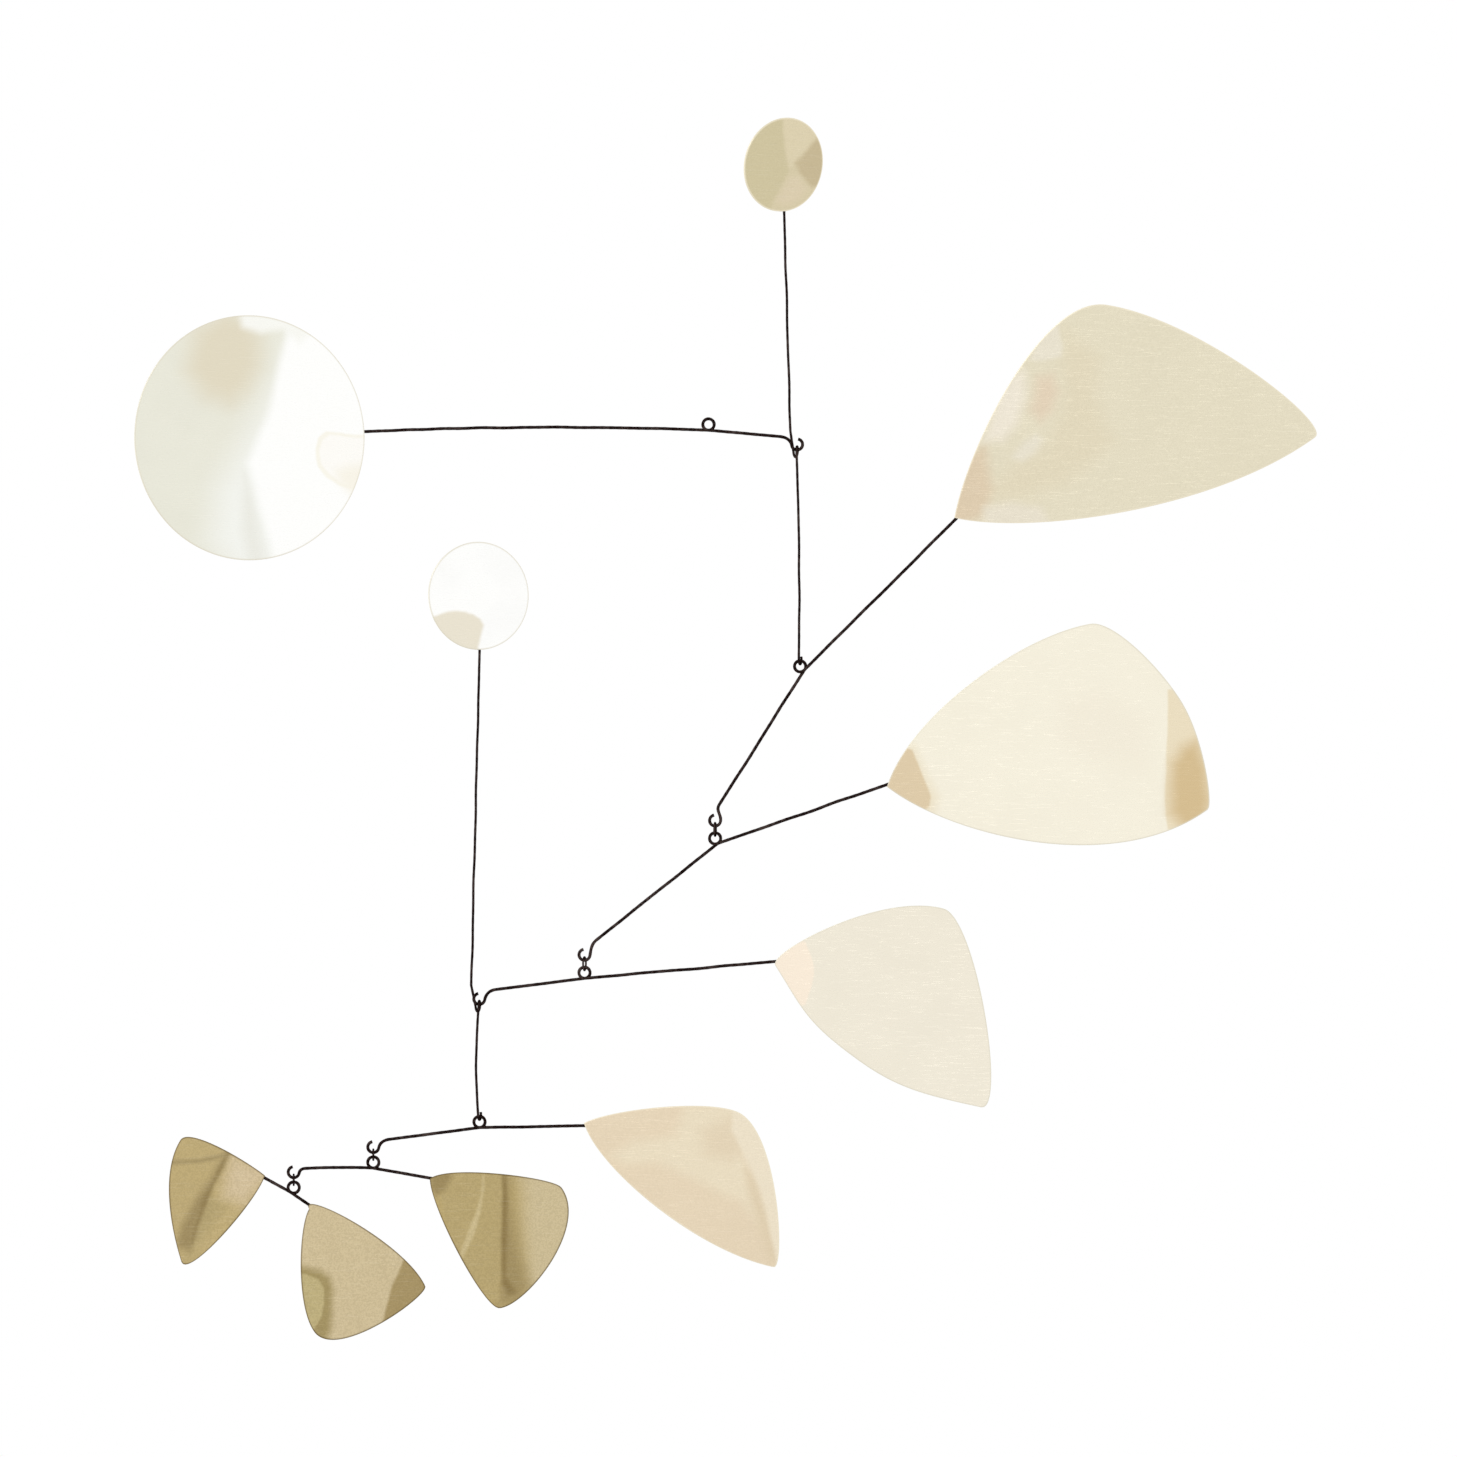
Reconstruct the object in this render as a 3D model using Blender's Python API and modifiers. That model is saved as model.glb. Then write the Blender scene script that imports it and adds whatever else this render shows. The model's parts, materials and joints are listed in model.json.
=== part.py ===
"""Hanging mobile: ten brass plates on nine bent iron wires.

The wires hang in one another by eyes, hooks and jump rings, so that every arm can swivel.
Metres, +Z up. The front is -Y and the middle of the hanging eye is the origin.
"""
import math
from collections import namedtuple

import bmesh
import bpy
import numpy as np
from mathutils import Matrix, Vector

# Wire, sheet and clearance
ARM_WIRE = 0.0016
UPRIGHT_WIRE = 0.0013
RING_WIRE = 0.0010
SHEET = 0.0008
GAP = 0.0003
TAIL = 0.012  # end of a wire, fixed behind its plate
CROSSING = 0.010  # where two strands cross, they come back into line over this length
NECK_PULL = 0.4  # how far a neck keeps its first and last headings, as a share of its length
FRONT_SHARE = 0.75  # an upright's eye starts this share of its pitch in front of the pivot

# Clear holes of the eyes and hooks, and the slack in the jump rings
HANGING_EYE_HOLE = 0.0041
EYE_HOLE = 0.0040
HOOK_HOLE = 0.0039
LARGE_RING_SLACK = 0.0015
SMALL_RING_SLACK = 0.0002

# Angles in degrees
HOOK_START = -10
HOOK_TIP = 100
UPRIGHT_HOOK_TIP = 25
UPRIGHT_TURN = 15
RING_1_TURN = 8
RING_2_TURN = 12
RING_3_TURN = 0
RING_4_TURN = 0

# A bend runs across a plate in one direction, given in degrees. From start to end the sheet
# rises towards the front, evenly past a fold and ever faster along a curl. Start, end and rise
# are shares of the plate's radius or length
Bend = namedtuple("Bend", "direction start end rise curl", defaults=(True,))

# Discs: turn about the upright line, sideways lean, and where on the rim the wire is fixed
LARGE_DISC_RADIUS = 0.0611
TOP_DISC_RADIUS = 0.02365
SMALL_DISC_RADIUS = 0.0270
Disc = namedtuple("Disc", "radius turn lean rim bend")
LARGE_DISC = Disc(LARGE_DISC_RADIUS, 20.6, 0, 3.2, Bend(180, -0.16, 1.0, 0.038))
TOP_DISC = Disc(TOP_DISC_RADIUS, 34, 17, -67.2, Bend(30, 0.17, 1.0, -0.042))
SMALL_DISC = Disc(SMALL_DISC_RADIUS, 22, 0, -87.4, Bend(225, 0.37, 1.0, 0.037, curl=False))

# Places on a level arm, each across and up from its own eye, and the neck from its hook
TOP_ARM_REACH = 0.1726
TOP_ARM_BOW = 0.0018
LEAF_5_ARM_BOW = 0.0004
End = namedtuple("End", "across up neck_across neck_up bow", defaults=(0, 0, 0))
TOP_ARM_PLATE = End(-TOP_ARM_REACH, -0.0036, bow=TOP_ARM_BOW)
TOP_ARM_HOOK = End(0.0443, -0.0100, -0.0088, 0.0040)
LEAF_1_ARM_PLATE = End(0.0763, 0.0721)
LEAF_1_ARM_HOOK = End(-0.0425, -0.0771, 0.0020, 0.0078)
LEAF_2_ARM_PLATE = End(0.0848, 0.0265)
LEAF_2_ARM_HOOK = End(-0.0653, -0.0582, 0.0061, 0.0075)
LEAF_3_ARM_PLATE = End(0.0952, 0.0056)
LEAF_3_ARM_HOOK = End(-0.0526, -0.0131, 0.0083, 0.0047)
LEAF_4_ARM_PLATE = End(0.0508, -0.0019)
LEAF_4_ARM_HOOK = End(-0.0531, -0.0126, 0.0081, 0.0039)
LEAF_5_ARM_PLATE = End(0.0275, -0.0077)
LEAF_5_ARM_HOOK = End(-0.0398, -0.0049, 0.0058, 0.0019, bow=LEAF_5_ARM_BOW)
BOTTOM_ARM_LEFT = End(-0.0138, 0.0044)
BOTTOM_ARM_RIGHT = End(0.0073, -0.0084)

# An upright wire: its plate above the eye, its hook below, and the jog just over the eye
UPPER_UPRIGHT_RISE = 0.1205
UPPER_UPRIGHT_DROP = 0.1036
LOWER_UPRIGHT_RISE = 0.1782
LOWER_UPRIGHT_DROP = 0.0542
Upright = namedtuple("Upright", "across up jog_across jog_up hook_across hook_down bow")
UPPER_UPRIGHT = Upright(
    -0.0065, UPPER_UPRIGHT_RISE, -0.0034, 0.0105, 0.0015, UPPER_UPRIGHT_DROP, 0.0007
)
LOWER_UPRIGHT = Upright(
    0.0002, LOWER_UPRIGHT_RISE, -0.0040, 0.0105, 0.0001, LOWER_UPRIGHT_DROP, -0.0010
)

# Leaves, each as long as its farthest point is from the wire's end
LEAF_1_LENGTH = 0.1873
LEAF_2_LENGTH = 0.1627
LEAF_3_LENGTH = 0.1277
LEAF_4_LENGTH = 0.1200
LEAF_5_LENGTH = 0.0756
LEAF_6_LENGTH = 0.0595
LEAF_7_LENGTH = 0.0721

# A leaf is a closed curve through a few turning points, each across and up from the wire's
# end, with the curve's heading there in degrees and how far it pulls before and after, all
# lengths as shares of the leaf's length. The first point is the corner at the wire, which the
# curve leaves in another direction
Leaf = namedtuple("Leaf", "length bend turns")
Turn = namedtuple("Turn", "across up heading before after leaves", defaults=(None,))
LEAF_1 = Leaf(LEAF_1_LENGTH, Bend(15, 0.214, 1.014, 0.0150), (
    Turn(0.0043, 0.0112, 167, 0.1970, 0.1831, leaves=80),
    Turn(0.4116, 0.5798, 351, 0.1778, 0.2520),
    Turn(0.9669, 0.2258, 216, 0.0593, 0.3433),
))
LEAF_2 = Leaf(LEAF_2_LENGTH, Bend(10, 0.307, 1.008, -0.0165), (
    Turn(0.0068, -0.0043, 142, 0.2440, 0.2219, leaves=73),
    Turn(0.6318, 0.4966, 10, 0.2243, 0.0756),
    Turn(0.9213, 0.2422, 299, 0.1168, 0.1309),
    Turn(0.9932, -0.0744, 216, 0.0215, 0.3559),
))
LEAF_3 = Leaf(LEAF_3_LENGTH, Bend(-25, 0.274, 0.979, 0.0235), (
    Turn(0.0039, -0.0196, 122, 0.1989, 0.0720, leaves=143),
    Turn(0.6601, 0.2075, 345, 0.2608, 0.1363),
    Turn(0.8066, -0.5701, 168, 0.1073, 0.2459),
    Turn(0.3203, -0.3821, 144, 0.1840, 0.2459),
))
LEAF_4 = Leaf(LEAF_4_LENGTH, Bend(-25, 0.250, 0.983, -0.0208), (
    Turn(0.0117, 0.0117, 106, 0.1867, 0.1342, leaves=27),
    Turn(0.6700, 0.0483, 326, 0.1242, 0.1917),
    Turn(0.8025, -0.5900, 168, 0.0508, 0.3392),
))
LEAF_5 = Leaf(LEAF_5_LENGTH, Bend(0, 0.489, 0.926, -0.0529, curl=False), (
    Turn(0.0106, -0.0040, 89, 0.1786, 0.1614, leaves=36),
    Turn(0.8810, -0.0648, 306, 0.0833, 0.3175),
    Turn(0.4735, -0.8624, 187, 0.1865, 0.1058),
))
LEAF_6 = Leaf(LEAF_6_LENGTH, Bend(151, 0.387, 0.790, 0.0504, curl=False), (
    Turn(-0.0084, 0.0269, 73, 0.2303, 0.1916, leaves=141),
    Turn(-0.7176, 0.3277, 238, 0.1345, 0.3345),
    Turn(-0.7109, -0.6975, 288, 0.2622, 0.1647),
))
LEAF_7 = Leaf(LEAF_7_LENGTH, Bend(-21, 0.763, 0.971, -0.0277, curl=False), (
    Turn(0.0055, -0.0319, 59, 0.1415, 0.1748, leaves=119),
    Turn(0.8114, -0.5673, 295, 0.3454, 0.0707),
    Turn(0.0402, -0.8821, 125, 0.2677, 0.2219),
))

# How finely round shapes are stepped
TURN_STEPS = 18
NECK_STEPS = 6
BOW_STEPS = 6
CURVE_STEPS = 12
DISC_SIDES = 48
CURL_CUTS = 7

ACROSS = np.array([1, 0, 0])
UP = np.array([0, 0, 1])


def start_scene():
    """Remove what the scene holds and make the mobile's own collection."""
    for thing in list(bpy.data.objects):
        bpy.data.objects.remove(thing)
    collection = bpy.data.collections.new("hanging_mobile")
    bpy.context.scene.collection.children.link(collection)
    return collection


def material(name, colour, roughness, metallic):
    """A plain Principled material. The colour is given as seen, from 0 to 255."""
    new = bpy.data.materials.new(name)
    new.use_nodes = True
    shader = new.node_tree.nodes["Principled BSDF"]
    shader.inputs["Base Color"].default_value = [(c / 255) ** 2.2 for c in colour] + [1]
    shader.inputs["Roughness"].default_value = roughness
    shader.inputs["Metallic"].default_value = metallic
    return new


MOBILE = start_scene()
IRON = material("iron_wire", (58, 48, 44), 0.45, 0.9)
PALE_BRASS = material("pale_brass", (238, 232, 214), 0.32, 1.0)
BRASS = material("brass", (226, 216, 188), 0.30, 1.0)
OLD_BRASS = material("old_brass", (196, 177, 128), 0.34, 1.0)


def add(name, data, finish, parent, place):
    """Put a named object in the mobile, carried by an arm and placed from its pivot."""
    new = bpy.data.objects.new(name, data)
    data.materials.append(finish)
    new.parent = parent
    new.matrix_local = place
    MOBILE.objects.link(new)
    return new


def pivot(name, parent, place):
    """An empty at the middle of an arm's eye, on the upright line that the arm turns about."""
    new = bpy.data.objects.new(name, None)
    new.empty_display_size = HANGING_EYE_HOLE
    new.parent = parent
    new.location = place
    MOBILE.objects.link(new)
    return new


def direction(degrees):
    return ACROSS * math.cos(math.radians(degrees)) + UP * math.sin(math.radians(degrees))


def at(across, up):
    return ACROSS * across + UP * up


def middle(hole, wire):
    """Radius to the middle of a wire that is bent round a clear hole."""
    return (hole + wire) / 2


def below(upper_radius, upper_wire, lower_radius, lower_wire):
    """How far the middle of a loop lies under the middle of the loop that it hangs in."""
    return upper_radius + lower_radius - (upper_wire + lower_wire) / 2 - GAP


def arc(centre, radius, first, last):
    """Points on an upright circle from one angle to another."""
    steps = math.ceil(abs(last - first) / 360 * TURN_STEPS)
    return [centre + radius * direction(a) for a in np.linspace(first, last, steps + 1)]


def stretch(start, end, bow):
    """A stretch of wire that bows sideways in the middle, without its first point."""
    if not np.any(bow):
        return [end]
    shares = [i / BOW_STEPS for i in range(1, BOW_STEPS + 1)]
    return [start + (end - start) * t + bow * 4 * t * (1 - t) for t in shares]


def hook_end(start, end, side):
    """From the eye out to a hook: the wire dips at the neck and bends round until the tip.

    side is 1 for a hook at the arm's left end and -1, mirrored, for one at its right end.
    """
    centre = at(end.across, end.up)
    mirror = np.array([side, 1, 1])
    bowl = arc(np.zeros(3), middle(HOOK_HOLE, ARM_WIRE), HOOK_START, HOOK_TIP - 360)
    bowl = [centre + p * mirror for p in bowl]
    neck = centre + at(end.neck_across, end.neck_up)
    leaving = (neck - start) / np.linalg.norm(neck - start)
    falling = direction(HOOK_START - 90) * mirror
    pull = NECK_PULL * np.linalg.norm(bowl[0] - neck)
    handles = neck, neck + leaving * pull, bowl[0] - falling * pull, bowl[0]
    dip = []
    for t in (i / NECK_STEPS for i in range(1, NECK_STEPS)):
        shares = (1 - t) ** 3, 3 * t * (1 - t) ** 2, 3 * t**2 * (1 - t), t**3
        dip.append(sum(share * handle for share, handle in zip(shares, handles)))
    return stretch(start, neck, UP * end.bow) + dip + bowl


def plate_end(start, end, turn):
    """From the eye out to a plate, and on behind it by the tail's length.

    Behind a plate that is turned, the tail bends forwards by the same angle.
    """
    far = at(end.across, end.up)
    heading = (far - start) / np.linalg.norm(far - start)
    slant = math.radians(turn)
    tail = heading * math.cos(slant) - np.array([0, math.sin(slant), 0])
    return stretch(start, far, UP * end.bow) + [far + tail * TAIL]


def tangent_angle(end, radius, side):
    """Angle on the eye where the wire from one end meets its underside."""
    target = end.across + end.neck_across, end.up + end.neck_up
    away = math.degrees(math.acos(radius / math.hypot(*target)))
    return math.degrees(math.atan2(target[1], target[0])) - side * away


def level_arm(right, left, radius, right_shape, left_shape):
    """Middle line of a level arm: from its right end, once round the eye, to its left end.

    The strands that cross under the eye lie one behind the other, half a wire and half the
    gap each from the arm's plane.
    """
    first = tangent_angle(right, radius, 1)
    last = tangent_angle(left, radius, -1)
    turn = (first - last) % 360
    turn += 360 if turn < 180 else 0
    eye = arc(np.zeros(3), radius, first, first - turn)
    apart = np.array([0, (ARM_WIRE + GAP) / 2, 0])
    right_part = right_shape(eye[0], right)
    left_part = left_shape(eye[-1], left)
    for part, beside, offset in ((right_part, eye[0], -apart), (left_part, eye[-1], apart)):
        for i, point in enumerate(part):
            away = np.linalg.norm(point - beside) / CROSSING
            part[i] = point + offset * max(0, 1 - away)
    eye = [p + apart * t for p, t in zip(eye, np.linspace(-1, 1, len(eye)))]
    return right_part[::-1] + eye + left_part


def upright(sizes, lean):
    """Middle line of an upright wire: down from its plate, once round the eye, to its hook.

    Eye and hook stand across the arm above, turned a little, and the wire passes in front
    of the pivot. The tail behind the plate leans as the plate does.
    """
    turn = math.radians(UPRIGHT_TURN)
    back = np.array([math.sin(turn), math.cos(turn), 0])
    beside = np.array([math.cos(turn), -math.sin(turn), 0])
    pitch = UPRIGHT_WIRE + GAP

    def loop(centre, radius, last):
        flat = arc(np.zeros(3), radius, 180, last)
        return [centre + back * p[0] + UP * p[2] for p in flat]

    eye = loop(np.zeros(3), middle(EYE_HOLE, UPRIGHT_WIRE), 540)
    steps = np.linspace(-FRONT_SHARE, 1 - FRONT_SHARE, len(eye))
    eye = [p + beside * pitch * t for p, t in zip(eye, steps)]
    centre = at(sizes.hook_across, -sizes.hook_down)
    bowl = loop(centre, middle(HOOK_HOLE, UPRIGHT_WIRE), 360 + UPRIGHT_HOOK_TIP)
    front = np.array([0, eye[0][1], 0])
    plate = front + at(sizes.across, sizes.up)
    tail = plate + TAIL * direction(90 - lean)
    jog = front + at(sizes.jog_across, sizes.jog_up)
    return [tail, plate, jog] + eye + stretch(eye[-1], bowl[0], ACROSS * sizes.bow) + bowl[1:]


def wire(name, points, thickness, parent):
    """A round wire along its middle line, as a bevelled curve with closed ends."""
    curve = bpy.data.curves.new(name, "CURVE")
    curve.dimensions = "3D"
    curve.bevel_depth = thickness / 2
    curve.bevel_resolution = 2
    curve.use_fill_caps = True
    spline = curve.splines.new("POLY")
    spline.points.add(len(points) - 1)
    for spot, point in zip(spline.points, points):
        spot.co = (*point, 1)
    return add(name, curve, IRON, parent, Matrix())


def leaf_face(mesh, shape):
    """Fill a leaf's closed outline, drawn as a flat curve through its turning points."""
    curve = bpy.data.curves.new("outline", "CURVE")
    curve.dimensions = "2D"
    curve.fill_mode = "NONE"
    curve.resolution_u = CURVE_STEPS
    spline = curve.splines.new("BEZIER")
    spline.bezier_points.add(len(shape.turns) - 1)
    spline.use_cyclic_u = True
    for spot, turn in zip(spline.bezier_points, shape.turns):
        arrives = math.radians(turn.heading)
        leaves = math.radians(turn.heading if turn.leaves is None else turn.leaves)
        before = turn.before * Vector((math.cos(arrives), math.sin(arrives), 0))
        after = turn.after * Vector((math.cos(leaves), math.sin(leaves), 0))
        here = Vector((turn.across, turn.up, 0))
        spot.handle_left_type = spot.handle_right_type = "FREE"
        spot.co = here * shape.length
        spot.handle_left = (here - before) * shape.length
        spot.handle_right = (here + after) * shape.length
    drawn = bpy.data.objects.new("outline", curve)
    line = bpy.data.meshes.new_from_object(drawn)
    bpy.data.objects.remove(drawn)
    mesh.from_mesh(line)
    bmesh.ops.contextual_create(mesh, geom=mesh.edges)


def disc_face(mesh, shape):
    bmesh.ops.create_circle(mesh, cap_ends=True, segments=DISC_SIDES, radius=shape.radius)


def plate(name, draw, shape, size, finish, parent, place):
    """A plate cut from sheet: a flat face, scored across and bent, then given its thickness."""
    bend = shape.bend
    mesh = bmesh.new()
    draw(mesh, shape)
    for face in mesh.faces:
        face.normal_update()
        if face.normal.z < 0:
            face.normal_flip()
    along = Vector((math.cos(math.radians(bend.direction)), math.sin(math.radians(bend.direction)), 0))
    cuts = CURL_CUTS if bend.curl else 1
    for step in range(cuts):
        reach = size * (bend.start + (bend.end - bend.start) * step / cuts)
        whole = [*mesh.verts, *mesh.edges, *mesh.faces]
        bmesh.ops.bisect_plane(mesh, geom=whole, plane_co=along * reach, plane_no=along)
    for point in mesh.verts:
        share = max(0, (point.co.dot(along) / size - bend.start) / (bend.end - bend.start))
        point.co.z = size * bend.rise * (share**2 if bend.curl else share)
    data = bpy.data.meshes.new(name)
    mesh.to_mesh(data)
    mesh.free()
    new = add(name, data, finish, parent, place)
    thickness = new.modifiers.new("sheet", "SOLIDIFY")
    thickness.thickness = SHEET
    thickness.offset = 1
    thickness.use_even_offset = True
    return new


def facing(wire_at, wire_size, turn, lean, rim_across, rim_up):
    """Place a plate in front of a wire, upright and facing -Y, then turned and leaned.

    The plate's own point (rim_across, rim_up) comes before the point wire_at of the wire,
    with the gap between them.
    """
    turned = (
        Matrix.Rotation(math.radians(lean), 4, "Y")
        @ Matrix.Rotation(math.radians(turn), 4, "Z")
        @ Matrix.Rotation(math.radians(90), 4, "X")
    )
    offset = Vector((-rim_across, -rim_up, wire_size / 2 + GAP))
    return Matrix.Translation(Vector(wire_at)) @ turned @ Matrix.Translation(offset)


def leaf(number, shape, finish, end, parent):
    """A leaf in front of the end of a level arm."""
    place = facing(at(end.across, end.up), ARM_WIRE, 0, 0, 0, 0)
    return plate(f"leaf_{number}", leaf_face, shape, shape.length, finish, parent, place)


def disc(name, shape, finish, wire_at, wire_size, parent):
    """A round plate whose rim comes before the wire's end."""
    rim_across, _, rim_up = shape.radius * direction(shape.rim)
    place = facing(wire_at, wire_size, shape.turn, shape.lean, rim_across, rim_up)
    return plate(name, disc_face, shape, shape.radius, finish, parent, place)


def leaf_arm(number, plate_place, hook_place, shape, finish, parent, place):
    """A level arm with its leaf on the right and its hook on the left."""
    arm = pivot(f"leaf_{number}_arm", parent, place)

    def right(start, end):
        return plate_end(start, end, 0)

    def left(start, end):
        return hook_end(start, end, 1)

    line = level_arm(plate_place, hook_place, middle(EYE_HOLE, ARM_WIRE), right, left)
    wire(f"leaf_{number}_arm_wire", line, ARM_WIRE, arm)
    leaf(number, shape, finish, plate_place, arm)
    return arm


def upright_arm(name, sizes, disc_name, shape, finish, parent, place):
    """An upright wire with its disc on top."""
    arm = pivot(name, parent, place)
    line = upright(sizes, shape.lean)
    wire(f"{name}_wire", line, UPRIGHT_WIRE, arm)
    disc(disc_name, shape, finish, line[1], UPRIGHT_WIRE, arm)
    return arm


def under_hook(hook_wire, eye_wire):
    """How far an eye's middle lies under the middle of the hook that it hangs in."""
    return below(middle(HOOK_HOLE, hook_wire), hook_wire, middle(EYE_HOLE, eye_wire), eye_wire)


def ring(number, slack, turn, end, parent):
    """A jump ring in a level arm's hook. Gives the place of the eye that hangs in the ring."""
    hole = 2 * ARM_WIRE + 3 * GAP + slack
    radius = middle(hole, RING_WIRE)
    hook_radius = middle(HOOK_HOLE, ARM_WIRE)
    eye_radius = middle(EYE_HOLE, ARM_WIRE)
    drop = below(hook_radius, ARM_WIRE, radius, RING_WIRE)
    bpy.ops.mesh.primitive_torus_add(
        major_radius=radius, minor_radius=RING_WIRE / 2, major_segments=20, minor_segments=8
    )
    new = bpy.context.object
    for collection in new.users_collection:
        collection.objects.unlink(new)
    MOBILE.objects.link(new)
    new.name = f"ring_{number}"
    new.data.shade_smooth()
    new.data.materials.append(IRON)
    new.parent = parent
    new.matrix_local = (
        Matrix.Translation(Vector((end.across, 0, end.up - drop)))
        @ Matrix.Rotation(-math.radians(turn), 4, "Z")
        @ Matrix.Rotation(math.radians(90), 4, "Y")
    )
    return at(end.across, end.up - drop - below(radius, RING_WIRE, eye_radius, ARM_WIRE))


def top_arm():
    """The arm that hangs the whole mobile: large disc left, hanging eye, hook right."""
    arm = pivot("top_arm", None, np.zeros(3))

    def right(start, end):
        return hook_end(start, end, -1)

    def left(start, end):
        return plate_end(start, end, LARGE_DISC.turn)

    radius = middle(HANGING_EYE_HOLE, ARM_WIRE)
    line = level_arm(TOP_ARM_HOOK, TOP_ARM_PLATE, radius, right, left)
    wire("top_arm_wire", line, ARM_WIRE, arm)
    rim = at(TOP_ARM_PLATE.across, TOP_ARM_PLATE.up)
    disc("large_disc", LARGE_DISC, PALE_BRASS, rim, ARM_WIRE, arm)
    return arm


def bottom_arm(parent, place):
    """The last arm, with a leaf at both ends."""
    arm = pivot("bottom_arm", parent, place)

    def straight(start, end):
        return plate_end(start, end, 0)

    radius = middle(EYE_HOLE, ARM_WIRE)
    line = level_arm(BOTTOM_ARM_RIGHT, BOTTOM_ARM_LEFT, radius, straight, straight)
    wire("bottom_arm_wire", line, ARM_WIRE, arm)
    leaf(6, LEAF_6, OLD_BRASS, BOTTOM_ARM_LEFT, arm)
    leaf(7, LEAF_7, OLD_BRASS, BOTTOM_ARM_RIGHT, arm)


def upper_half():
    """From the hanging eye down to the third leaf's arm, which is given back."""
    top = top_arm()
    place = at(TOP_ARM_HOOK.across, TOP_ARM_HOOK.up - under_hook(ARM_WIRE, UPRIGHT_WIRE))
    tall = upright_arm("upper_upright", UPPER_UPRIGHT, "top_disc", TOP_DISC, BRASS, top, place)
    drop = UPPER_UPRIGHT.hook_down + under_hook(UPRIGHT_WIRE, ARM_WIRE)
    place = at(UPPER_UPRIGHT.hook_across, -drop)
    one = leaf_arm(1, LEAF_1_ARM_PLATE, LEAF_1_ARM_HOOK, LEAF_1, BRASS, tall, place)
    place = ring(1, LARGE_RING_SLACK, RING_1_TURN, LEAF_1_ARM_HOOK, one)
    two = leaf_arm(2, LEAF_2_ARM_PLATE, LEAF_2_ARM_HOOK, LEAF_2, PALE_BRASS, one, place)
    place = ring(2, LARGE_RING_SLACK, RING_2_TURN, LEAF_2_ARM_HOOK, two)
    return leaf_arm(3, LEAF_3_ARM_PLATE, LEAF_3_ARM_HOOK, LEAF_3, PALE_BRASS, two, place)


def lower_half(three):
    """From the third leaf's hook down to the last arm."""
    place = at(LEAF_3_ARM_HOOK.across, LEAF_3_ARM_HOOK.up - under_hook(ARM_WIRE, UPRIGHT_WIRE))
    tall = upright_arm(
        "lower_upright", LOWER_UPRIGHT, "small_disc", SMALL_DISC, PALE_BRASS, three, place
    )
    drop = LOWER_UPRIGHT.hook_down + under_hook(UPRIGHT_WIRE, ARM_WIRE)
    place = at(LOWER_UPRIGHT.hook_across, -drop)
    four = leaf_arm(4, LEAF_4_ARM_PLATE, LEAF_4_ARM_HOOK, LEAF_4, BRASS, tall, place)
    place = ring(3, SMALL_RING_SLACK, RING_3_TURN, LEAF_4_ARM_HOOK, four)
    five = leaf_arm(5, LEAF_5_ARM_PLATE, LEAF_5_ARM_HOOK, LEAF_5, OLD_BRASS, four, place)
    place = ring(4, SMALL_RING_SLACK, RING_4_TURN, LEAF_5_ARM_HOOK, five)
    bottom_arm(five, place)


lower_half(upper_half())
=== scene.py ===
"""A hanging mobile: ten brass plates on nine bent iron wires, linked by eyes, hooks and rings.

Every wire, ring and plate is made again here, finer than its solid and in the same place.
Lengths are in metres unless a name ends in _mm, up is +Z and the front is -Y.
"""

import json
import math
from collections import namedtuple

import bpy
import numpy as np
from mathutils import Matrix, Vector


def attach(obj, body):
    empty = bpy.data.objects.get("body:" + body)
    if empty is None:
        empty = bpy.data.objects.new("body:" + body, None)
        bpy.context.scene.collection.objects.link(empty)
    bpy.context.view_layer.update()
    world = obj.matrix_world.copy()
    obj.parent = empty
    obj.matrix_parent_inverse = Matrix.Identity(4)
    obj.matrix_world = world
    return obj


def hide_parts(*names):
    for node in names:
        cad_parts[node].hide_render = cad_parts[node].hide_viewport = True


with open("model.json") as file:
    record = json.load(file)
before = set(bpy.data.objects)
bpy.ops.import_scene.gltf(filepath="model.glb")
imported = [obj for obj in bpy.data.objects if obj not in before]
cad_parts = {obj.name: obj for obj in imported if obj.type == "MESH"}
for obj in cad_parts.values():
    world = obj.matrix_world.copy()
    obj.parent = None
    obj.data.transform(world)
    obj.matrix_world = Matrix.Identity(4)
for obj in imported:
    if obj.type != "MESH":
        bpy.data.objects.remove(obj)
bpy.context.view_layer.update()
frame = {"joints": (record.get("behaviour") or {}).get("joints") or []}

# Level wires. Seven lengths of annealed iron wire, 1.6 mm thick, bent by hand: each one is
# turned once round a mandrel near its point of balance to make an eye, and its ends run out
# to a plate, which is soldered on, or to an open hook that the next arm hangs in.
ARM_WIRE = 0.0016
GAP = 0.0003
TAIL = 0.012
CROSSING = 0.010
NECK_PULL = 0.4
HANGING_EYE_HOLE = 0.0041
EYE_HOLE = 0.0040
HOOK_HOLE = 0.0039
HOOK_START = -10
HOOK_TIP = 100
ARC_STEPS = 72
NECK_STEPS = 16
SAME_PLACE = 1e-9
WIRE_STEP = 0.0006
WIRE_SIDES = 20
END_SHARES = np.array([0.55, 0.90])
TWIST_PITCH = 0.0045
TWIST_DEPTH = 0.035
TWIST_FADE = 0.010
WAVES = 4
WAVE_PITCH = (0.018, 0.070)
WAVE_DEPTH = 0.00024
WAVE_CLEAR = 0.016

End = namedtuple("End", "kind across up neck_across neck_up bow", defaults=(0, 0, 0))
Arm = namedtuple("Arm", "right left hole")
HOOK = "hook"
PLATE = "plate"

# Each arm's eye stands on the upright line that the arm turns about
EYE_AT = {joint["child"]: np.array(joint["pos_m"]) for joint in frame["joints"]}
EYE_AT["top_arm"] = np.zeros(3)


def direction(degrees):
    """Unit vectors in the upright plane: (cos, 0, sin) of each angle."""
    angles = np.radians(np.atleast_1d(degrees))
    return np.stack([np.cos(angles), 0 * angles, np.sin(angles)], axis=-1)


def at(across, up):
    return np.array([across, 0, up])


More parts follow.
